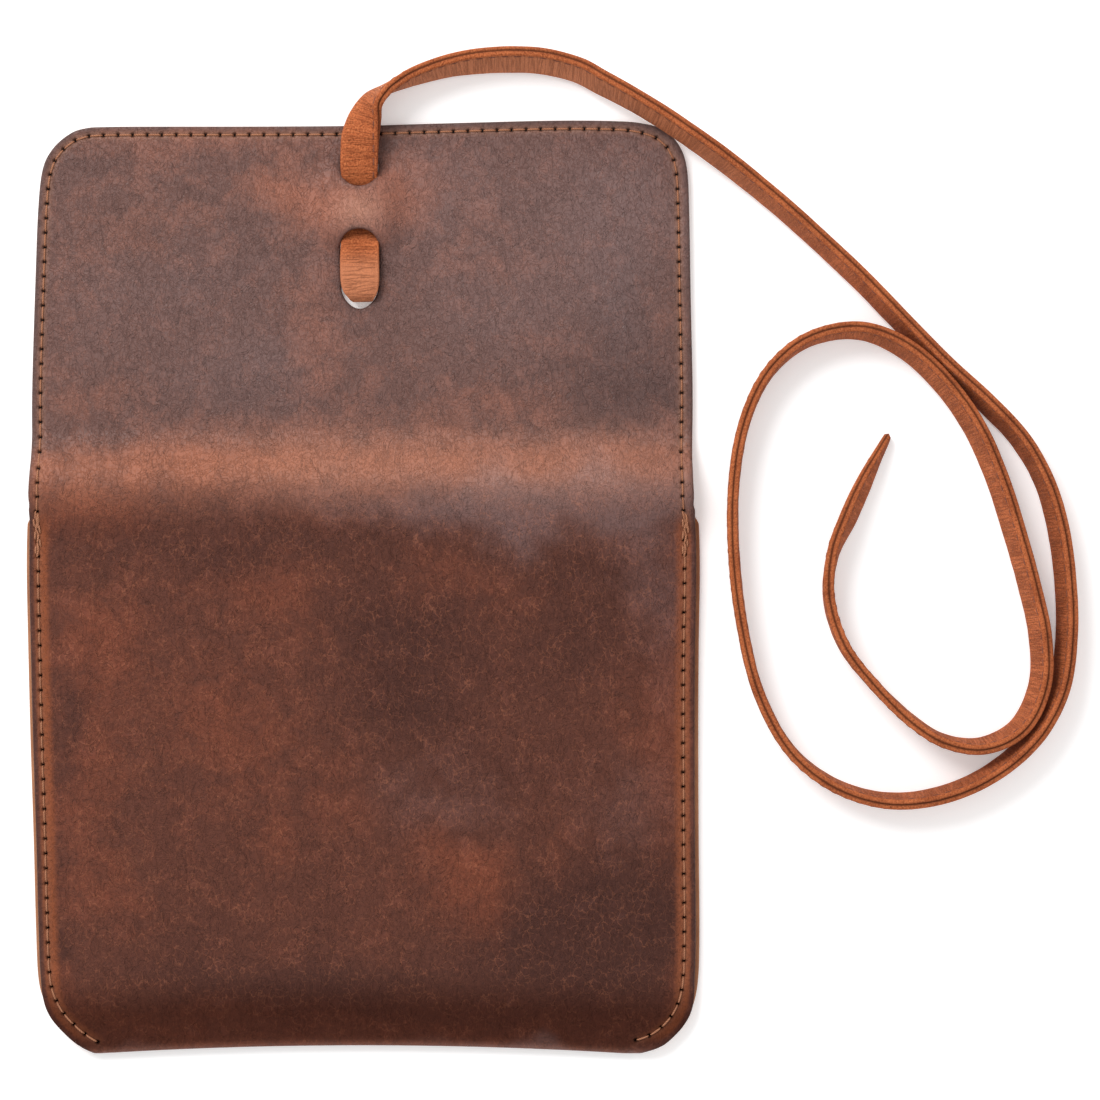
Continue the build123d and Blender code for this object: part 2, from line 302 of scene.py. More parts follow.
def pouch_surface(x, v):
    """Outer surface of the pouch's leather."""
    x, v = np.asarray(x, float), np.asarray(v, float)
    flat = np.column_stack([x, np.maximum(v, FOLD_Y)])
    edge = np.minimum(distance_to(flat, LEFT), distance_to(flat, RIGHT))
    edge = np.minimum(edge, np.maximum(v - FOLD_Y, 0) * 0.8)
    crease = smooth(11, 25.5, v)
    z = pocket(x, v, edge) * (1 - crease) + ridge(x, v) * crease
    y = v + bow(x) * (1 - smooth(FOLD_Y, FOLD_Y + 30, v))
    turn = np.clip((FOLD_Y - v) / FOLD_R, 0, math.pi)
    on_fold, past = v < FOLD_Y, FRONT_V - v
    y = np.where(on_fold, FOLD_Y + bow(x) - FOLD_R * np.sin(turn), y)
    z = np.where(on_fold, FOLD_R + FOLD_R * np.cos(turn), z)
    y = np.where(past > 0, FOLD_Y + past + bow(x) * (1 - smooth(0, 30, past)), y)
    z = np.where(past > 0, 0.0, z)
    return np.column_stack([x, y, z])


def flap_surface(x, y):
    """Outer surface of the flap's leather, with its half of the crease."""
    x, y = np.asarray(x, float), np.asarray(y, float)
    near = 1 - smooth(39.5, 42.5, y)
    z = ridge(x, y) * near + flap_height(x, y) * (1 - near)
    return np.column_stack([x, y, z])


def normals_of(surface, x, y):
    """The surface's outward directions."""
    step = 0.05
    dx = surface(x + step, y) - surface(x - step, y)
    dy = surface(x, y + step) - surface(x, y - step)
    return unit(np.cross(dx, dy))


# Colour of the leather, as soft patches over x and v. A spot is x, v, half width,
# half height, strength and, unless it is 0, degrees turned.

WARM = [
    (-2, 101, 17, 9, 1.35), (-20, 102, 10, 7, 0.5, 20), (9, 101, 8, 7, 0.45),
    (-60, 92, 20, 9, 0.3, 10), (-12, 66, 10, 17, 0.55), (-42, 116, 38, 6, 0.5),
    (30, 90, 7, 14, 0.25, 10), (60, 55, 16, 8, 0.25, -10), (-70, 50, 14, 6, 0.4),
    (34, 47, 22, 5, 0.4, 4), (-24, -3, 13, 8, 0.6, -10), (-36, -36, 17, 17, 0.6, 35),
    (-70, -14, 12, 13, 0.65, 10), (-72, -52, 8, 26, 0.6, -8), (-66, -76, 8, 8, 0.45),
    (-21, -67, 6, 9, 0.5), (25, -74, 9, 13, 0.9, 38), (35, -86, 5, 8, 0.7, 30),
    (-5, -52, 10, 9, 0.4, 20), (24, 2, 16, 7, 0.4, -12), (77, -33, 8, 34, 0.7, 4),
    (-50, -112, 34, 4, 0.4), (-30, -160, 30, 16, 0.5, 15), (44, -215, 22, 24, 0.5),
    (-55, -235, 16, 14, 0.4), (20, -114, 40, 3, 0.3), (-40, 4, 14, 6, 0.2, 10),
    (-79, -104, 5, 8, 0.6, 40), (-70, 17, 13, 6, 0.8), (-14, 16, 14, 4, 0.4),
    (82, -100, 3, 12, 0.5), (8, -20, 12, 10, 0.25, 30), (52, -66, 6, 10, 0.3, 20),
]
# Dark patches: partly the leather's own darker tone, partly painted shade below the crease, along
# the bottom and beside the left seam
DARK_AND_SHADE = [
    (-30, 12, 62, 8, 0.6), (60, 4, 24, 7, 0.5), (10, -8, 18, 8, 0.35, -10),
    (12, -24, 20, 22, 0.85, 20), (58, -14, 20, 16, 0.6), (60, -92, 28, 18, 1.3, 5),
    (72, -74, 12, 14, 0.5), (-10, -104, 36, 9, 0.75), (-45, -96, 20, 12, 0.35),
    (-79, -90, 5, 14, 0.8), (-76, -34, 5, 14, 0.7), (68, 68, 13, 16, 0.7), (66, 52, 14, 6, 0.4),
    (52, 52, 14, 9, 0.35), (-36, 51, 22, 8, 0.3), (-72, 108, 12, 7, 0.3, 30),
    (40, -50, 16, 12, 0.3), (68, 49, 13, 9, 0.5), (-14, 29, 12, 4, 0.5), (-42, 80, 24, 20, 0.25),
    (5, -112, 90, 5, 0.5), (40, -165, 26, 18, 0.5), (-40, -205, 26, 16, 0.5, 10),
    (20, -250, 50, 9, 0.5), (-58, -8, 10, 6, 0.2), (5, 114, 6, 7, 0.35),
]
# Painted reflection: purplish patches where the waxed surface mirrors the light, over the flap,
# below the crease and along the bottom fold
GREY_REFLECTION = [
    (22, 103, 22, 14, 0.5), (66, 98, 18, 20, 0.85), (36, 74, 20, 16, 0.5),
    (-28, 57, 18, 9, 0.5, 10), (-46, 78, 18, 12, 0.3), (66, 74, 12, 12, 0.4), (40, 22, 36, 8, 1.4),
    (70, 21, 14, 8, 1.2), (-4, 22, 26, 4, 0.2), (52, -120.5, 30, 2.5, 0.9),
    (-60, -121, 20, 2, 0.4), (20, -55, 18, 10, 0.35), (68, -56, 12, 12, 0.35),
    (74, -5, 8, 14, 0.3), (-70, 75, 12, 16, 0.2), (78, 0, 7, 34, 0.45), (0, 82, 14, 14, 0.2),
]


# The crease band, rubbed lighter and partly painted light: its middle, and how far it reaches up
# over the flap and down over the back
CREASE_V, CREASE_UP, CREASE_DOWN = 31.6, 8.8, 9.2


def paint(x, v):
    """What the grain leather's material reads at each point, painted light and shade among it. The
    patches have uneven edges.
    """
    jog_x = 7 * wave(x, v, 17, 1.7) + 2.5 * wave(x, v, 5.5, 4.4)
    jog_y = 7 * wave(x, v, 17, 6.2) + 2.5 * wave(x, v, 5.5, 9.1)
    u, w = x + jog_x, v + jog_y
    # The crease band: partly rubbed pull-up lightening, partly painted light on the slope that
    # faces the lamp
    past = v + 1.2 * wave(x, v, 22, 2.2) - CREASE_V
    reach = np.where(past > 0, CREASE_UP - 3.8 * smooth(-45, -70, x), CREASE_DOWN)
    crease = np.exp(-(np.abs(past / reach) ** 2.2)) * (0.92 + 0.35 * wave(x, v, 24, 5.0))
    # Lighter along the bottom fold: partly rubbed, partly painted highlight
    fold = np.exp(-(((v - FOLD_Y + 2.4) / 2.0) ** 2))
    # Painted shade: darker toward the bottom fold, where the surface turns away from the lamp
    low = (1 - smooth(-112, -99, v)) * smooth(FOLD_Y - 1.8, FOLD_Y + 0.4, v)
    # Painted highlight on the raised bridge between the tie's holes, which is also rubbed lighter;
    # the crease band and the fold add a little
    bridge = blobs(x, v, [(TIE_X, 97.5, 5.6, 4.2, 0.5)])
    return {
        "rub": bridge + 0.24 * crease * (0.35 + 0.65 * smooth(-50, 0, x)) + 0.12 * fold,
        "low": low,
        # Warm adds the crease band and the fold, which are partly painted light
        "warm": blobs(u, w, WARM) + 1.0 * crease + 0.7 * fold,
        "dark": blobs(u, w, DARK_AND_SHADE) * (1 - 0.8 * crease),
        "grey": blobs(u, w, GREY_REFLECTION),
        "flap": smooth(28, 44, v),
        "sheen": smooth(14, 33, v),
    }


# Making a sheet of leather from its outline


def loop_of(hole, grow, step):
    """A hole with round ends, counter-clockwise, larger all round by grow."""
    middle_y, half_length, half_width, taper = hole
    half_length, half_width = half_length + grow, half_width + grow
    straight = half_length - half_width
    turn = np.linspace(0, math.pi, 40)
    top = np.column_stack([half_width * np.cos(turn), straight + half_width * np.sin(turn)])
    loop = np.vstack([top, -top, top[:1]])
    lower = np.minimum(loop[:, 1], 0) / half_length
    loop[:, 0] *= 1 - taper * lower**2
    loop += (TIE_X, middle_y)
    return even(loop, step)[:-1]


def cut_points(start, end, spacing, insets):
    """Points from start to end along the cut, without those two and closer together near them."""
    ahead = 1 if end > start else -1
    inner = ahead * np.array(insets)
    places = np.linspace(start, end, int(abs(start - end) / spacing))
    places = np.unique(np.r_[places, start + inner, end - inner])[::ahead]
    keep = [places[0]]
    for place in places[1:-1]:
        if abs(keep[-1] - place) > 0.1 and abs(place - places[-1]) > 0.1:
            keep.append(place)
    return with_last(keep[1:], CUT_Y)


def grid_points(loop, spacing, coarse_below):
    """Staggered rows over the loop's box, three times as far apart below coarse_below."""
    low, high = loop.min(0), loop.max(0)
    grid = []
    for number, row in enumerate(np.arange(low[1], high[1], spacing * 0.87)):
        coarse = row < coarse_below
        if coarse and number % 3:
            continue
        step = spacing * (3 if coarse else 1)
        grid.append(with_last(np.arange(low[0] + (number % 2) * step / 2, high[0], step), row))
    return np.vstack(grid)


def with_pits(fill, pits):
    """The points with rings round each stitch hole in place of those near it."""
    angles = np.arange(8) * math.pi / 4
    rings = [fill[distance_to_nearest(fill, pits) > PIT_CLEAR], pits]
    for radius, shift in PIT_RINGS:
        ring = radius * np.column_stack([np.cos(angles + shift), np.sin(angles + shift)])
        rings.append((pits[:, None] + ring[None]).reshape(-1, 2))
    return np.vstack(rings)


def triangles(flat, constraints, loop, hole_loops):
    """Points and counter-clockwise triangles that fill the loop but for its holes."""
    result = delaunay_2d_cdt([Vector(p) for p in flat], constraints, [], 0, 1e-5)
    xy = np.array([tuple(v) for v in result[0]])
    faces = np.array([f for f in result[2] if len(f) == 3])
    middle = xy[faces].mean(1)
    good = inside(middle, loop)
    for hole_loop in hole_loops:
        good &= ~inside(middle, hole_loop)
    used, faces = np.unique(faces[good], return_inverse=True)
    xy, faces = xy[used], faces.reshape(-1, 3)
    ab, ac = xy[faces[:, 1]] - xy[faces[:, 0]], xy[faces[:, 2]] - xy[faces[:, 0]]
    clockwise = ab[:, 0] * ac[:, 1] - ab[:, 1] * ac[:, 0] < 0
    faces[clockwise] = faces[clockwise][:, ::-1]
    return xy, faces


def build_sheet(name, surface, edges, spacing, thickness, pits=(), holes=(),
                coarse_below=-np.inf, insets=EDGE_INSETS):
    """The points and triangles of a sheet over a flat outline. edges is the open line round it,
    clockwise, which the cut across the crease closes. The outer side follows surface(x, v)."""
    loop = np.vstack([edges, cut_points(edges[-1][0], edges[0][0], spacing, insets)])
    hole_loops = [loop_of(hole, 0, HOLE_STEP) for hole in holes]
    constraints, base = [], 0
    for ring in (loop, *hole_loops):
        constraints += [(base + i, base + (i + 1) % len(ring)) for i in range(len(ring))]
        base += len(ring)
    fill = []
    for inset in insets:
        ring = inward(edges, inset)
        clear = distance_to(ring, edges) > inset * 0.93
        fill.append(ring[clear & (np.abs(ring[:, 1] - CUT_Y) > 0.35)])
    fill += [loop_of(hole, inset, HOLE_RING_STEP) for hole in holes for inset in HOLE_RINGS]
    grid = grid_points(loop, spacing, coarse_below)
    clear = inside(grid, loop) & (distance_to(grid, edges) > insets[-1] + 0.4)
    grid = grid[clear & (np.abs(grid[:, 1] - CUT_Y) > 0.5)]
    for hole in holes:
        grid = grid[~inside(grid, loop_of(hole, HOLE_CLEAR, HOLE_RING_STEP))]
    fill = np.vstack([*fill, grid])
    if len(pits):
        fill = with_pits(fill, pits)
    for hole_loop in hole_loops:
        fill = fill[~inside(fill, hole_loop)]
    flat = np.vstack([loop, *hole_loops, fill])
    xy, faces = triangles(flat, constraints, loop, hole_loops)

    rim = distance_to(xy, edges)
    for hole_loop in hole_loops:
        rim = np.minimum(rim, distance_to(xy, np.vstack([hole_loop, hole_loop[:1]])))
    across = 1 - np.clip(rim / EDGE_ROUND, 0, 1)
    return {
        "name": name, "xy": xy, "faces": faces, "thickness": thickness,
        "outer": surface(*xy.T), "normal": normals_of(surface, *xy.T),
        "round": 0.45 * thickness / LEATHER * (1 - np.sqrt(np.clip(1 - across**2, 0, 1))),
        "data": {"rim": rim,
                 "pit": 1 - smooth(0.2, HOLE_R + 0.25, distance_to_nearest(xy, pits))},
    }


def boundary_edges(faces):
    """The edges that only one face has."""
    edges = [(face[i], face[(i + 1) % 3]) for face in faces.tolist() for i in range(3)]
    known = set(edges)
    return [(a, b) for a, b in edges if (b, a) not in known]


def add_object(name, data):
    obj = bpy.data.objects.new(name, data)
    bpy.context.scene.collection.objects.link(obj)
    return obj


def make_mesh(name, verts, faces, materials, cut, fields=()):
    """An object from points and faces. Its materials read cut, where each point is on the flat
    leather, and the fields."""
    mesh = bpy.data.meshes.new(name)
    mesh.from_pydata((verts * MM).tolist(), [], faces)
    mesh.polygons.foreach_set("use_smooth", np.ones(len(mesh.polygons), bool))
    for material in materials:
        mesh.materials.append(material)
    layer = mesh.attributes.new("cut", "FLOAT_VECTOR", "POINT")
    layer.data.foreach_set("vector", np.asarray(cut, np.float32).ravel())
    for key, values in dict(fields).items():
        layer = mesh.attributes.new(key, "FLOAT", "POINT")
        layer.data.foreach_set("value", np.asarray(values, np.float32))
    return add_object(name, mesh)


def finish_sheet(sheet, dent, materials, painted=True):
    """Turns a sheet into a closed mesh object. dent is how far the outer side sinks at each
    point."""
    xy, faces, data = sheet["xy"], sheet["faces"], sheet["data"]
    sunk = sheet["round"] + dent + HOLE_DEEP * data["pit"]
    deep = sheet["thickness"] - sheet["round"] * 0.8
    top, bottom = (sheet["outer"] - sheet["normal"] * by[:, None] for by in (sunk, deep))
    sides = [(b, a, a + len(xy), b + len(xy)) for a, b in boundary_edges(faces)]
    if painted:
        data = {**data, **paint(*xy.T)}
    fields = {key: np.clip(np.r_[values, values], -5, 50) for key, values in data.items()}
    obj = make_mesh(sheet["name"], np.vstack([top, bottom]),
                    [*faces.tolist(), *(faces[:, ::-1] + len(xy)).tolist(), *sides], materials,
                    np.vstack([with_last(xy, 0.0), with_last(xy, UNDERSIDE)]), fields)
    kinds = [0] * len(faces) + [2] * len(faces) + [1] * len(sides)
    obj.data.polygons.foreach_set("material_index", np.array(kinds, np.int32))
    mark_sharp(obj.data)
    return obj


def mark_sharp(mesh):
    """Makes the edges along the cut sharp, so that the two halves of the leather shade as one."""
    mesh.update()
    on_cut = np.array([abs(v.co[1] - CUT_Y * MM) < 2e-5 for v in mesh.vertices])
    ends = np.array([e.vertices[:] for e in mesh.edges])
    layer = mesh.attributes.new("sharp_edge", "BOOLEAN", "EDGE")
    layer.data.foreach_set("value", on_cut[ends].all(1))


# Materials


class Nodes:
    """A short way to write a node tree."""

    def __init__(self, name):
        self.material = bpy.data.materials.new(name)
        self.material.use_nodes = True
        self.tree = self.material.node_tree
        self.shader = self.tree.nodes["Principled BSDF"]

    def add(self, kind, inputs=None, **settings):
        node = self.tree.nodes.new("ShaderNode" + kind)
        for key, value in settings.items():
            setattr(node, key, value)
        for key, value in (inputs or {}).items():
            self.put(node.inputs[key], value)
        return node

    def put(self, socket, value):
        if isinstance(value, bpy.types.NodeSocket):
            self.tree.links.new(value, socket)
        else:
            socket.default_value = value

    def math(self, operation, *values):
        node = self.add("Math", operation=operation)
        for socket, value in zip(node.inputs, values):
            self.put(socket, value)
        return node.outputs[0]

    def mix(self, amount, a, b):
        node = self.add("Mix", data_type="RGBA")
        self.put(node.inputs["Factor"], amount)
        self.put(node.inputs[6], a)
        self.put(node.inputs[7], b)
        return node.outputs[2]

    def ramp(self, value, low, high, start=0.0, end=1.0):
        node = self.add("MapRange", {"Value": value, "From Min": low, "From Max": high,
                                     "To Min": start, "To Max": end})
        return node.outputs[0]

    def attribute(self, name, output="Fac"):
        return self.add("Attribute", attribute_name=name).outputs[output]

    def noise(self, place, scale, detail=2.0, rough=0.5, distortion=0.0, output="Fac"):
        node = self.add("TexNoise", {"Vector": place, "Scale": scale, "Detail": detail,
                                     "Roughness": rough, "Distortion": distortion})
        return node.outputs[output]

    def scaled(self, value, by, plus):
        """value * by + plus"""
        return self.math("MULTIPLY_ADD", value, by, plus)

    def times(self, value, *others):
        for other in others:
            value = self.math("MULTIPLY", value, other)
        return value

    def stir(self, value, cloud, amount):
        """The value, raised or lowered by a noise."""
        return self.scaled(self.math("SUBTRACT", cloud, 0.5), amount, value)

    def over(self, under, colour, *amounts):
        """A screen colour laid over another by the product of the amounts."""
        return self.mix(self.times(*amounts), under, rgb(*colour))

    def finish(self, colour, roughness, normal):
        """Sets the surface and gives the material."""
        for key, value in (("Base Color", colour), ("Roughness", roughness), ("Normal", normal)):
            self.put(self.shader.inputs[key], value)
        return self.material

    def stretched(self, place, scale, turn=0.0):
        node = self.add("Mapping", {"Vector": place, "Scale": scale, "Rotation": (0, 0, turn)})
        return node.outputs[0]

    def wiggles(self, place, scale, width, distortion):
        """Thin wandering lines, 1 along a line."""
        cloud = self.noise(place, scale, 3.0, 0.55, distortion)
        away = self.math("ABSOLUTE", self.math("SUBTRACT", cloud, 0.5))
        return self.ramp(away, 0.0, width, 1.0, 0.0)

    def net(self, place, scale, width):
        """Fine creases that meet in a net, 1 along a line."""
        drift = self.add("VectorMath", operation="MULTIPLY_ADD")
        self.put(drift.inputs[0], self.noise(place, 1.3 * scale, output="Color"))
        drift.inputs[1].default_value = [1.1 / scale] * 3
        self.put(drift.inputs[2], place)
        cells = self.add("TexVoronoi", {"Vector": drift.outputs[0], "Scale": scale},
                         feature="DISTANCE_TO_EDGE")
        return self.ramp(cells.outputs["Distance"], 0.0, width, 1.0, 0.0)

    def bump(self, height, strength, distance, before=None):
        node = self.add("Bump", {"Height": height, "Strength": strength, "Distance": distance})
        if before is not None:
            self.put(node.inputs["Normal"], before)
        return node.outputs[0]


def rgb(red, green, blue):
    """A colour given as it looks on screen, from 0 to 255."""
    def linear(c):
        c /= 255
        return c / 12.92 if c <= 0.04045 else ((c + 0.055) / 1.055) ** 2.4
    return (linear(red), linear(green), linear(blue), 1.0)


CREASE_DARK = (44, 24, 20)


def grain_leather():
    """Waxed pull-up leather: dark brown, rubbed to orange-brown, with a fine creased grain and
    painted light.
    """
    t = Nodes("leather_grain")
    place = t.attribute("cut", "Vector")
    warm, dark, grey, low, flap, rim, pit, rub, sheen, seam, strip = map(
        t.attribute, "warm dark grey low flap rim pit rub sheen seam strip".split())

    mottle = t.noise(place, 0.15, 5.0, 0.62, 0.5)
    fine = t.noise(place, 1.3, 4.0, 0.65)
    grainy = t.noise(place, 4.0, 2.0, 0.6)
    streaks = t.noise(t.stretched(place, (1.3, 0.30, 1), 0.45), 1.0, 4.0, 0.6)
    small = t.wiggles(place, 0.52, 0.05, 1.3)
    light = t.net(t.stretched(place, (1.0, 0.7, 1), 0.5), 0.52, 0.06)
    large = t.wiggles(t.stretched(place, (1.0, 0.5, 1), 0.35), 0.24, 0.02, 1.2)
    patchy = t.ramp(t.noise(place, 0.075), 0.36, 0.64)

    warm_now = t.ramp(t.stir(t.stir(warm, mottle, 1.9), fine, 0.75), 0.0, 1.15)
    dark_and_shade_now = t.ramp(t.stir(dark, streaks, 1.1), 0.0, 0.9)
    # Painted reflection: the whole flap and the listed patches take a pale purplish sheen
    reflection_now = t.scaled(flap, 0.45, grey)
    reflection_now = t.ramp(t.stir(reflection_now, mottle, 0.8), 0.05, 1.2)
    shown = t.scaled(t.ramp(mottle, 0.40, 0.60), 0.22, 0.06)
    shown = t.times(shown, t.scaled(t.math("SUBTRACT", 1.0, flap), 0.65, 0.35))

    # Toward the crease and the flap the base colours lighten with the sheen field: partly the
    # leather's tone, partly painted sheen
    colour = t.mix(sheen, rgb(88, 51, 41), rgb(95, 60, 50))
    colour = t.mix(warm_now, colour, t.mix(sheen, rgb(122, 65, 46), rgb(154, 88, 60)))
    # Dark patches: the leather's darker tone and painted shade
    colour = t.over(colour, (56, 33, 30), dark_and_shade_now, 0.75)
    # Painted reflection laid over the colour
    colour = t.over(colour, (114, 92, 92), reflection_now, 0.45)
    colour = t.over(colour, (176, 110, 80), light, shown)
    colour = t.over(colour, CREASE_DARK, small, t.scaled(patchy, 0.16, 0.10))
    colour = t.over(colour, CREASE_DARK, large, 0.28)
    # Rubbed lighter and painted highlight: on the bridge, the crease band and the fold
    colour = t.over(colour, (196, 142, 118), rub, t.ramp(fine, 0.3, 0.7, 0.5, 0.9))
    colour = t.over(colour, (160, 100, 74), t.ramp(grainy, 0.38, 0.68), 0.09)
    colour = t.over(colour, (142, 78, 48), strip, t.ramp(fine, 0.3, 0.6, 0.45, 0.85))
    colour = t.over(colour, (158, 112, 88), seam, t.ramp(flap, 0, 1, 0.25, 0.5))
    colour = t.over(colour, (66, 48, 46), t.ramp(rim, 0.1, 1.5, 1.0, 0.0), 0.6)
    # Painted shade toward the bottom fold
    colour = t.over(colour, (50, 19, 9), low, 0.62)
    # Painted shade inside the stitch holes
    colour = t.over(colour, (22, 11, 9), pit)

    shine = t.math("ADD", t.times(sheen, 0.30), t.times(reflection_now, 0.16))
    shine = t.scaled(low, -0.06, shine)
    t.put(t.shader.inputs["Specular IOR Level"], t.math("ADD", shine, 0.10))
    rough = t.math("ADD", t.ramp(fine, 0.3, 0.7, 0.42, 0.60), t.times(pit, 0.3))
    height = t.scaled(small, -0.7, t.times(fine, 0.5))
    height = t.scaled(light, 0.35, height)
    height = t.scaled(grainy, 0.35, height)
    deep = t.scaled(large, -1.0, t.times(streaks, 0.8))
    return t.finish(colour, rough, t.bump(deep, 0.4, 0.0005, t.bump(height, 0.6, 0.00028)))


def raw_edge():
    """Cut edge of the leather: tan fibres in layers, darkened by handling."""
    t = Nodes("leather_edge")
    fibres = t.noise(t.attribute("cut", "Vector"), 2.2, 4.0, 0.7)
    world = t.add("TexCoord").outputs["Object"]
    layers = t.noise(t.stretched(world, (60, 60, 2200)), 1.0)
    tone = t.ramp(t.math("ADD", fibres, t.times(layers, 0.6)), 0.55, 1.0)
    colour = t.mix(tone, rgb(142, 80, 46), rgb(198, 128, 82))
    colour = t.over(colour, (74, 52, 46), t.attribute("flap"), 0.75)
    return t.finish(colour, 0.8, t.bump(tone, 0.5, 0.0003))


def flesh_leather(name, low, high):
    """The unfinished, matt side of leather."""
    t = Nodes(name)
    place = t.attribute("cut", "Vector")
    cloud = t.noise(place, 0.12, 4.0, 0.6)
    nap = t.noise(t.stretched(place, (3.2, 1.4, 1), 0.4), 1.0, 4.0, 0.75)
    tone = t.ramp(t.math("ADD", t.times(cloud, 0.7), t.times(nap, 0.5)), 0.35, 0.85)
    rough = t.ramp(nap, 0.2, 0.8, 0.78, 0.95)
    return t.finish(t.mix(tone, rgb(*low), rgb(*high)), rough, t.bump(nap, 0.6, 0.0004))


def tie_leather():
    """Brushed orange-brown strip with a short nap, darker specks, creases across it and painted
    light.
    """
    t = Nodes("tie_leather")
    place = t.attribute("cut", "Vector")
    nap = t.noise(t.stretched(place, (1.0, 1.8, 1)), 1.5, 4.0, 0.7)
    specks = t.noise(place, 1.9, 3.0, 0.7)
    cloud = t.noise(place, 0.13, 3.0, 0.6)
    creases = t.wiggles(t.stretched(place, (0.06, 1.0, 1)), 0.9, 0.05, 0.2)
    crease = t.times(creases, t.attribute("flat"))
    tone = t.scaled(cloud, 0.45, t.times(nap, 0.65))
    colour = t.mix(t.ramp(tone, 0.38, 0.72), rgb(132, 63, 33), rgb(204, 114, 68))
    colour = t.over(colour, (84, 38, 20), t.ramp(specks, 0.53, 0.64, 0.0, 0.6))
    colour = t.over(colour, (212, 134, 84), t.ramp(specks, 0.46, 0.36, 0.0, 0.5))
    # Rubbed and painted light: lighter where the tie is laced through the flap, and painted light
    # on the flat faces along its run
    colour = t.over(colour, (206, 136, 100), t.attribute("worn_and_lit"), 0.6)
    colour = t.over(colour, (108, 52, 28), crease, 0.30)
    colour = t.over(colour, (62, 30, 18), t.attribute("split"), 0.8)
    t.shader.inputs["Specular IOR Level"].default_value = 0.15
    height = t.math("SUBTRACT", t.math("ADD", nap, t.times(specks, 0.6)), crease)
    return t.finish(colour, t.ramp(nap, 0.2, 0.8, 0.72, 0.92), t.bump(height, 0.7, 0.0004))


def thread_material(name, light, dark):
    """Twisted sewing thread: slanted plies along its length."""
    t = Nodes(name)
    place = t.attribute("cut", "Vector")
    turn = t.add("TexWave", {"Vector": place, "Scale": 1.1, "Distortion": 0.6},
                 bands_direction="DIAGONAL").outputs["Fac"]
    colour = t.mix(turn, rgb(*dark), rgb(*light))
    colour = t.over(colour, dark, t.ramp(t.noise(place, 0.35), 0.45, 0.75, 0.0, 0.5))
    return t.finish(colour, 0.7, t.bump(turn, 0.5, 0.0002))


GRAIN = grain_leather()
EDGE = raw_edge()
FLESH = flesh_leather("leather_flesh", (140, 88, 58), (186, 132, 96))
SUEDE = flesh_leather("lining_suede", (112, 74, 50), (158, 114, 84))
TIE = tie_leather()
THREAD = thread_material("seam_thread", (186, 126, 90), (136, 84, 58))
TIE_THREAD = thread_material("tie_thread_material", (150, 82, 52), (96, 50, 32))


# Seam rows


def side_row(line, sign):
    """A side's needle line, from the bottom fold up to the middle of the crease."""
    row = inward(line, sign * SIDE_INSETS[sign])
    row = row[(row[:, 1] > FOLD_Y + 0.9) & (row[:, 1] < CUT_Y - PITCH / 2)]
    row = row[np.argsort(row[:, 1])]
    meets = FLAP_SEAM[0, 0] if sign < 0 else FLAP_SEAM[-1, 0]
    row[:, 0] += (meets - row[-1, 0]) * smooth(10, 27, row[:, 1])
    return row


FLAP_OUTLINE = curve_through(FLAP_EDGE, OUTLINE_STEP)
# The flap's needle line is a little further from the edge on the right.
flap_insets = FLAP_INSET + FLAP_INSET_MORE * smooth(66, 82, FLAP_OUTLINE[:, 0])
FLAP_SEAM = inward(FLAP_OUTLINE, flap_insets[:, None])
FLAP_SEAM = FLAP_SEAM[FLAP_SEAM[:, 1] > CUT_Y + PITCH / 2]
LEFT_SEAM, RIGHT_SEAM = side_row(LEFT, -1), side_row(RIGHT, 1)
FLAP_PITS, LEFT_PITS, RIGHT_PITS = (even(row, PITCH) for row in (FLAP_SEAM, LEFT_SEAM, RIGHT_SEAM))


def groove(xy, seam, depth=0.28, width=0.75):
    """depth along a row of stitches, fading to 0 on both sides of it."""
    return depth * np.exp(-((distance_to(xy, seam) / width) ** 2))


# The pouch's leather: back panel, bottom fold and front panel in one


def pouch_edge(side, sign):
    """One side of the pouch's cut, from the crease down the back, round the fold, up the front."""
    down = side[side[:, 1] > FOLD_Y].copy()
    tuck = BACK_INSET * smooth(24, 17, down[:, 1]) * smooth(-112, -100, down[:, 1])
    down[:, 0] -= sign * tuck
    order = np.argsort(side[:, 1])
    turns = np.linspace(0, math.pi, 13)[1:-1]
    fold_y = FOLD_Y - FOLD_R * np.sin(turns)
    fold_x = np.interp(fold_y, side[order, 1], side[order, 0])
    fold = np.column_stack([fold_x, FOLD_Y - FOLD_R * turns])
    up = side[(side[:, 1] > FOLD_Y) & (side[:, 1] < MOUTH_Y)][::-1]
    up[:, 0] -= sign * 0.9 * smooth(MOUTH_Y - 2.5, MOUTH_Y, up[:, 1])
    front = np.column_stack([up[:, 0], FRONT_V - (up[:, 1] - FOLD_Y)])
    return np.vstack([down, fold, front])


def pouch_outline(left, right, v, count):
    """Clockwise round the pouch's sheet, from the crease down its right side, straight across at
    v, and up its left side."""
    across = with_last(np.linspace(left[-1][0], right[-1][0], count)[1:-1], v)
    return np.vstack([right, across[::-1], left[::-1]])


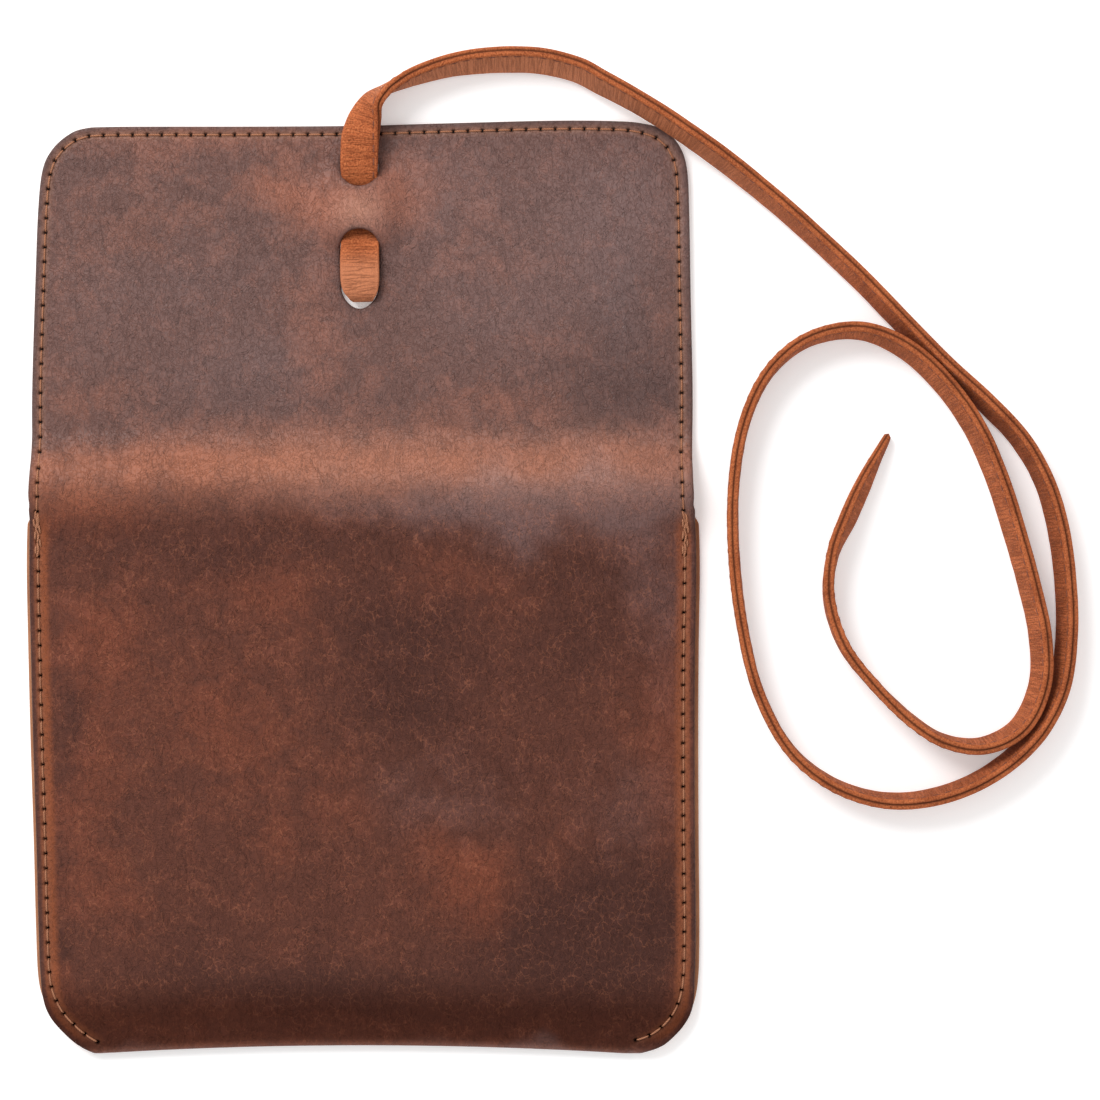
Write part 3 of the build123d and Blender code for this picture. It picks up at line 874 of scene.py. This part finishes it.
# Depth and width, as of a groove, of the colour along a seam
SEAM_MARK = (1, 0.9)
pouch_edges = pouch_outline(pouch_edge(LEFT, -1), pouch_edge(RIGHT, 1),
                            FRONT_V - (MOUTH_Y - FOLD_Y), 120)
sheet = build_sheet("leather_pouch", pouch_surface, pouch_edges, LEATHER_SPACING, LEATHER,
                    pits=np.vstack([LEFT_PITS, RIGHT_PITS]), coarse_below=FRONT_V - 4)
xy, rim = sheet["xy"], sheet["data"]["rim"]
sheet["data"]["seam"] = groove(xy, LEFT_SEAM, *SEAM_MARK) + groove(xy, RIGHT_SEAM, *SEAM_MARK)
sheet["data"]["strip"] = (smooth(0.9, 1.8, rim) * smooth(5.6, 4.2, rim) * smooth(22, 12, xy[:, 1])
                          * smooth(FOLD_Y, FOLD_Y + 4, xy[:, 1]))
dent = groove(xy, LEFT_SEAM) + groove(xy, RIGHT_SEAM)
leather_pouch = finish_sheet(sheet, dent, [GRAIN, EDGE, FLESH])

sheet = build_sheet("leather_flap", flap_surface, FLAP_OUTLINE, LEATHER_SPACING, LEATHER,
                    pits=FLAP_PITS, holes=(BIG_HOLE, SMALL_HOLE))
xy = sheet["xy"]
sheet["data"]["seam"] = groove(xy, FLAP_SEAM, *SEAM_MARK)
sheet["data"]["strip"] = np.zeros(len(xy))
# A presser foot has left a second, fainter line inside the seam.
dent = groove(xy, FLAP_SEAM) + groove(xy, inward(FLAP_SEAM, 1.8), 0.12, 0.35)
leather_flap = finish_sheet(sheet, dent, [GRAIN, EDGE, FLESH])


# The lining, glued to the flesh side


def under(surface, depth):
    """The surface that lies depth below another."""
    def lower(x, y):
        return surface(x, y) - normals_of(surface, x, y) * depth
    return lower


def trimmed(line, inset, low):
    """The part of a line moved inward that is above low, without the folds at its corners."""
    inner = inward(line, inset)
    clear = distance_to(inner, line) > inset * 0.95
    return inner[clear & (inner[:, 1] > low)]


# The glue line keeps the two layers apart on both sides of the lining.
GLUE = 0.01
LINED_HOLES = [(y, half_length + LINED_GAP, half_width + LINED_GAP, taper)
               for y, half_length, half_width, taper in (BIG_HOLE, SMALL_HOLE)]
sheet = build_sheet("lining_flap", under(flap_surface, LEATHER + GLUE),
                    trimmed(FLAP_OUTLINE, 1.2, -np.inf), 2.4, LINING - 2 * GLUE,
                    holes=LINED_HOLES, insets=(0.3, 1.0, 2.0))
lining_flap = finish_sheet(sheet, 0, [SUEDE] * 3, painted=False)

lining_low = FOLD_Y + 2.6
lining_edges = pouch_outline(trimmed(LEFT[::-1], 2.2, lining_low)[::-1],
                             trimmed(RIGHT, 2.2, lining_low), lining_low, 70)
sheet = build_sheet("lining_pouch", under(pouch_surface, LEATHER + GLUE), lining_edges, 3.0,
                    LINING - 2 * GLUE, insets=(0.5, 1.5))
lining_pouch = finish_sheet(sheet, 0, [SUEDE] * 3, painted=False)


# Stitches


def tube_faces(base, rings, around):
    """Four-sided faces along a tube whose points are numbered ring by ring, and its two ends."""
    faces = []
    for i in range(rings - 1):
        for j in range(around):
            a, b = base + i * around + j, base + i * around + (j + 1) % around
            faces.append((a, b, b + around, a + around))
    last = base + (rings - 1) * around
    return faces, tuple(range(base, base + around)), tuple(range(last, last + around))


class Tubes:
    """Collects short closed tubes into one mesh."""

    def __init__(self, name):
        self.name, self.verts, self.faces, self.cut = name, [], [], []

    def add(self, centre, side, up, wide, high, sides=8):
        """A tube along centre, with half width wide along side and half height high along up."""
        base = sum(len(v) for v in self.verts)
        along = run_of(centre)
        turn = np.arange(sides) * 2 * math.pi / sides
        rings = (centre[:, None] + np.cos(turn)[None, :, None] * (side * wide[:, None])[:, None]
                 + np.sin(turn)[None, :, None] * (up * high[:, None])[:, None])
        self.verts.append(rings.reshape(-1, 3))
        around = np.tile(turn / (2 * math.pi) * 1.8, len(centre))
        place = np.column_stack([around, np.repeat(along, sides) + base * 0.37])
        self.cut.append(with_last(place, 0.0))
        faces, first, last = tube_faces(base, len(centre), sides)
        self.faces += [*faces, first[::-1], last]

    def build(self, material):
        return make_mesh(self.name, np.vstack(self.verts), self.faces, [material],
                         np.vstack(self.cut))


# Half of one stitch: places along it, and its height and thickness there
HALF_STITCH = np.array([(0.07, -0.72, 0.62), (0.10, -0.34, 0.75), (0.145, -0.06, 0.9),
                        (0.20, 0.08, 1), (0.30, 0.15, 1.05), (0.43, 0.18, 1.08)])
OTHER_STITCH = (HALF_STITCH * (-1, 1, 1) + (1, 0, 0))[::-1]
STITCH_AT, STITCH_RISE, STITCH_PLUMP = np.vstack([HALF_STITCH, OTHER_STITCH]).T


def stitch(tubes, surface, a, b, lift=0.0, radius=THREAD_R):
    """One stitch lying on the leather from hole a to hole b, its ends going down into them."""
    flat = a + STITCH_AT[:, None] * (b - a)
    n = normals_of(surface, *flat.T)
    centre = surface(*flat.T) + n * (STITCH_RISE - 0.20 + lift)[:, None]
    along = direction(centre)
    side = unit(np.cross(along, n))
    plump = STITCH_PLUMP * radius
    tubes.add(centre, side, np.cross(side, along), plump, plump * 0.85)


def stitch_rows(name, surface, *rows):
    """Rows of stitches, each row given as its holes."""
    tubes = Tubes(name)
    for holes in rows:
        for a, b in zip(holes, holes[1:]):
            stitch(tubes, surface, a, b)
    return tubes.build(THREAD)


def whole_surface(x, y):
    """The back of the pouch and the flap as one."""
    low, high = pouch_surface(x, np.minimum(y, CUT_Y)), flap_surface(x, np.maximum(y, CUT_Y))
    return np.where((np.asarray(y) < CUT_Y)[:, None], low, high)


thread_flap = stitch_rows("thread_flap", whole_surface,
                          np.vstack([LEFT_PITS[-1:], FLAP_PITS, RIGHT_PITS[-1:]]))
thread_crease = stitch_rows("thread_crease", whole_surface,
                            *(p[p[:, 1] > MOUTH_Y] for p in (LEFT_PITS, RIGHT_PITS)))
thread_left, thread_right = (
    stitch_rows(name, pouch_surface, pits[pits[:, 1] < MOUTH_Y + PITCH])
    for name, pits in (("thread_left", LEFT_PITS), ("thread_right", RIGHT_PITS))
)


# The stitches of a bartack: y of the lower end, and how far each end is off the seam in x
BARTACK = [
    (7.6, -0.3, 0.25), (9.3, 0.35, -0.2), (11.2, -0.15, 0.4), (12.9, 0.45, -0.3),
    (14.4, -0.35, 0.15), (16.1, 0.15, 0.45), (17.2, -0.2, -0.35), (10.2, 0.75, 0.5),
    (13.7, 0.85, 0.55), (16.6, 0.7, 0.3), (8.4, -0.6, -0.5), (12.1, -0.7, -0.45),
    (15.2, -0.55, -0.75), (9, 0.1, 0), (14.9, 0.35, 0.5),
]
BARTACK_LENGTH = 2.5


def bartack(name, seam):
    """Stitches sewn back over themselves at the end of the pocket's side seam."""
    tubes = Tubes(name)
    for number, (low, first, second) in enumerate(BARTACK):
        a, b = (np.array([np.interp(y, seam[:, 1], seam[:, 0]) + off, y])
                for y, off in ((low, first), (low + BARTACK_LENGTH, second)))
        stitch(tubes, pouch_surface, a, b, 0.08 + 0.10 * (number % 3), THREAD_R * 1.15)
    return tubes.build(THREAD)


bartack_left = bartack("bartack_left", LEFT_SEAM)
bartack_right = bartack("bartack_right", RIGHT_SEAM)


# The tie: a strip folded double and sewn along one edge. Each row of its route is x, y, height of
# its middle, how far it has rolled onto its edge in degrees, and its width.

TIE_THICK, TIE_FLAT = 3.0, 2.5
TIE_STEP = 0.9
# Where its middle is when it stands on edge on the table
TIE_STANDS = 5.0
# Its seam: pitch and length of the stitches, where they start along it, and how far across
TIE_PITCH, TIE_STITCH, TIE_SEAM_FROM, TIE_SEAM_AT = 3.3, 2.5, 30.0, 0.78
TIE_STITCH_SINK = np.array([-0.45, -0.05, 0.04, 0.06, 0.04, -0.05, -0.45])
TIE_LACED = [
    (-0.5, 84.5, 1.42, 0, 8.5), (-0.4, 80.5, 1.4, 0, 8.2), (-0.2, 76.6, 1.42, 0, 7.2),
    (-0.2, 75, 2.95, 0, 5.8), (-0.3, 76.4, 4.4, 0, 8.8), (-0.6, 79.2, 4.85, 0, 10.1),
    (-0.7, 84.4, 4.85, 0, 10.1), (-0.7, 88, 3.8, 0, 10), (-0.8, 90.9, 1.95, 0, 9.7),
    (-0.8, 94.5, 1.45, 0, 9.4), (-0.8, 99, 1.42, 0, 9.4), (-0.8, 102.6, 1.6, 0, 9.2),
    (-0.8, 105.4, 3.2, 0, 9.1), (-0.8, 108.3, 5, 0, 9.6), (-0.7, 112.4, 5.75, 3, 9.8),
    (-0.4, 116.6, 6, 13, 9.8), (0.7, 121, 6.2, 33, 9.8), (2.6, 125.2, 6.1, 58, 9.8),
    (5.9, 128.2, 5.7, 77, 10), (9.8, 130.4, 5.3, 88, 10), (14.7, 132.4, 5, 96, 10),
    (22.4, 134.6, 5, 103, 10), (30.4, 135.8, 5, 108, 10), (39, 136.2, 5, 110, 10),
    (47, 135.7, 5, 110, 10), (55.5, 133.5, 5.3, 109, 10), (62.1, 129.8, 7, 107, 10),
    (68.9, 126, 8, 105, 10), (77.2, 121, 8.2, 104, 10), (85.4, 115.5, 8, 104, 10),
    (93.6, 109.8, 6.6, 104, 10), (101.5, 103.8, 5.3, 103, 10),
]
# x, y and roll where it stands on the table
TIE_LOOSE = [
    (111.3, 95.6, 102), (127.7, 80.4, 102), (139.1, 68.7, 102), (150.4, 57.3, 101),
    (160.5, 48.1, 101), (169.7, 38.4, 100), (176, 27.6, 99), (179.6, 15.6, 101), (181.5, 1.9, 101),
    (181.9, -12, 101), (180.1, -25.5, 101), (174.8, -36.6, 100), (166.5, -45.2, 99),
    (155.9, -51.5, 98), (143.7, -54.9, 97), (131.8, -54.6, 96), (119.8, -50, 94), (109.6, -41, 93),
    (102.2, -26.7, 93), (98.2, -10.4, 94), (96.1, 6.4, 95), (95.8, 24, 94), (98, 39.9, 94),
    (103.2, 53, 94), (111, 61.5, 95), (120.2, 65.6, 97), (130.4, 65.9, 100), (141, 61, 103),
    (150.4, 52.2, 104), (158.1, 41.2, 105), (163.9, 28.2, 105), (168.4, 14.2, 105),
    (172.2, 0.6, 104), (175, -12.4, 104), (175, -25, 103), (170, -35.8, 101), (160.6, -40.9, 98),
    (150.4, -39.8, 95), (141.4, -34.2, 95), (132.2, -25.2, 93), (124.4, -15, 92),
]
TIE_TIP = [
    (120.6, -3, 5, 93, 9.8), (121.5, 8.4, 5, 99, 9.6), (125.6, 18, 4.8, 110, 9.2),
    (129.5, 26.4, 4.2, 113, 7.8), (133, 33.4, 3.2, 108, 5.4), (136.4, 39.6, 2.2, 104, 2.2),
]
TIE_ROUTE = [*TIE_LACED, *((x, y, TIE_STANDS, roll, 10.0) for x, y, roll in TIE_LOOSE), *TIE_TIP]


def tie_frames():
    """Along the tie: its middle, width direction, face direction, width and thickness."""
    line = curve_through(TIE_ROUTE, TIE_STEP)
    xyz, roll, wide = line[:, :3].copy(), np.radians(line[:, 3]), line[:, 4]
    thick = TIE_FLAT + (TIE_THICK - TIE_FLAT) * np.sin(np.clip(roll, 0, math.pi / 2))
    rest = wide / 2 * np.sin(roll) + thick / 2 * np.abs(np.cos(roll)) * 0.9 + 0.03
    standing = smooth(10, 70, line[:, 3])
    xyz[:, 2] += (rest + np.maximum(xyz[:, 2] - TIE_STANDS, 0) - xyz[:, 2]) * standing
    way = direction(xyz)
    flat_way = way * (1, 1, 0)
    length = np.maximum(np.linalg.norm(flat_way, axis=1), 1e-6)[:, None]
    right = with_last(np.column_stack([flat_way[:, 1], -flat_way[:, 0]]), 0.0) / length
    # Through the holes it goes up and down steeply, with its width always along X.
    right[(xyz[:, 1] < 112) & (xyz[:, 0] < 3)] = (1, 0, 0)
    across = np.cos(roll)[:, None] * right + np.sin(roll)[:, None] * np.array([0, 0, 1.0])
    across -= way * (across * way).sum(1)[:, None]
    across = unit(across)
    return xyz, across, np.cross(across, way), wide, thick


# Half of the folded strip's section: across -1..1, face -1..1, split, flatness
HALF_SECTION = [
    (-1, 0, 0, 0), (-0.985, 0.42, 0, 0), (-0.93, 0.8, 0, 0), (-0.82, 0.97, 0, 0.6),
    (-0.5, 1, 0, 1), (-0.15, 0.98, 0, 1), (0.2, 0.97, 0, 1), (0.5, 0.95, 0, 1), (0.7, 0.88, 0, 1),
    (0.78, 0.84, 0.12, 0.6), (0.86, 0.88, 0, 0.4), (0.94, 0.86, 0, 0), (0.99, 0.66, 0, 0),
    (1, 0.34, 0.15, 0), (0.985, 0.12, 0.7, 0), (0.9, 0, 1, 0),
]
OTHER_HALF = [(a, -b, split, flat) for a, b, split, flat in HALF_SECTION[-2:0:-1]]
SECTION = np.array(HALF_SECTION + OTHER_HALF)


def build_tie():
    """The strap, its seam, and the points of its middle line."""
    xyz, across, face, wide, thick = tie_frames()
    count, around = len(xyz), len(SECTION)
    at_across, at_face, split, flatness = SECTION.T
    along = run_of(xyz)
    ends = np.minimum(along, along[-1] - along)
    taper = np.sqrt(np.clip(1 - (1 - np.clip(ends / 1.1, 0, 1)) ** 2, 0.02, 1))
    slender = np.clip((along[-1] - along) / 24, 0.0, 1)
    depth = thick * (0.62 + 0.38 * slender) * taper
    width = (wide + 0.22 * wave(along, np.zeros(count), 5.5, 3.3)) * (0.4 + 0.6 * taper)
    ripple = np.array([[noise.noise(Vector((a / 2.1, u * 1.6, 7.7))) for u in at_across]
                       for a in along])
    sideways = at_across[None] * width[:, None] / 2
    outward = (at_face[None] * depth[:, None] / 2
               + 0.10 * ripple * flatness[None] * np.sign(at_face)[None])
    verts = (xyz[:, None] + across[:, None] * sideways[..., None]
             + face[:, None] * outward[..., None]).reshape(-1, 3)
    verts[:, 2] = np.maximum(verts[:, 2], 0.02)
    girth = run_of(SECTION[:, :2] * (5, 1.5))
    cut = np.column_stack([np.tile(girth, count), np.repeat(along, around)])
    faces, first, last = tube_faces(0, count, around)
    faces = [*((a, d, c, b) for a, b, c, d in faces), first, last[::-1]]
    # Lighter where laced through the flap, rubbed there and painted highlight; lit is painted
    # light on the run's flat faces, which the lamp leaves in shade
    laced = smooth(5, 9, along) * smooth(24, 17, along)
    lit = smooth(62, 72, along) * smooth(200, 130, along)
    worn_and_lit = laced[:, None] + lit[:, None] * flatness[None]
    fields = {"split": np.tile(split, count), "flat": np.tile(flatness, count),
              "worn_and_lit": worn_and_lit.ravel()}
    strap = make_mesh("tie_strap", verts, faces, [TIE], with_last(cut, 0.0), fields)

    tubes = Tubes("tie_seam")
    points = len(TIE_STITCH_SINK)
    for low in np.arange(TIE_SEAM_FROM, along[-1] - 9, TIE_PITCH):
        at = np.linspace(low, low + TIE_STITCH, points)
        middle, side, up = (sample(at, along, rows) for rows in (xyz, across, face))
        half_w, half_t = np.interp(at, along, width) / 2, np.interp(at, along, depth) / 2
        for sign in (1, -1):
            centre = (middle + side * (half_w * TIE_SEAM_AT)[:, None]
                      + up * (sign * (half_t * 0.84 + TIE_STITCH_SINK))[:, None])
            tubes.add(centre, side, up * sign, np.full(points, 0.2), np.full(points, 0.17), 6)
    return strap, tubes.build(TIE_THREAD), xyz


tie_strap, tie_seam, tie_path = build_tie()


# Camera, light and floor

scene = bpy.context.scene
scene.view_settings.view_transform = "Standard"
camera_data = bpy.data.cameras.new("camera")
camera_data.sensor_width = 36
camera_data.lens = 94.4
camera = add_object("camera", camera_data)
camera.location = (0.0485, 0.0096, 0.75)
scene.camera = camera

floor_data = bpy.data.meshes.new("floor")
floor_data.from_pydata([(-3, -3, 0), (3, -3, 0), (3, 3, 0), (-3, 3, 0)], [], [(0, 1, 2, 3)])
floor = add_object("floor", floor_data)
white = Nodes("floor_white")
for key, value in (("Base Color", (0.95, 0.95, 0.95, 1)), ("Roughness", 0.9),
                   ("Emission Color", (1, 1, 1, 1)), ("Emission Strength", 0.22)):
    white.put(white.shader.inputs[key], value)
floor_data.materials.append(white.material)

world = bpy.data.worlds.new("studio")
scene.world = world
world.use_nodes = True
background = world.node_tree.nodes["Background"].inputs
background["Color"].default_value = (1, 1, 1, 1)
background["Strength"].default_value = 0.80

# One large soft window, up and to the left
window_data = bpy.data.lights.new("window", "AREA")
window_data.shape, window_data.size, window_data.energy = "DISK", 0.75, 15
window = add_object("window", window_data)
window.location = (-0.60, 0.85, 1.05)
aim = Vector((0.03, 0, 0)) - window.location
window.rotation_euler = aim.to_track_quat("-Z", "Y").to_euler()


# What moves with what, and the hidden CAD parts

for piece in (leather_pouch, lining_pouch, thread_crease):
    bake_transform(piece)
for piece in (leather_flap, lining_flap, thread_flap):
    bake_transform(piece)
for piece in (thread_left, thread_right, bartack_left, bartack_right):
    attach(piece, "pouch")
for piece in (tie_strap, tie_seam):
    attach(piece, "flap")

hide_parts("front_panel", "bottom_fold", "back_panel")
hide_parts("flap_panel", "spine_band")
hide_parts("back_lining")
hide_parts("flap_lining", "spine_lining")
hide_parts("side_stitching_left")
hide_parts("side_stitching_right")
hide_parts("mouth_bartack_left")
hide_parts("mouth_bartack_right")
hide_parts("flap_stitching")
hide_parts("spine_stitching")
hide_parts("tie_weave", "tie_twist", "tie_run", "tie_hump", "tie_spiral")
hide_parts("tie_thread")
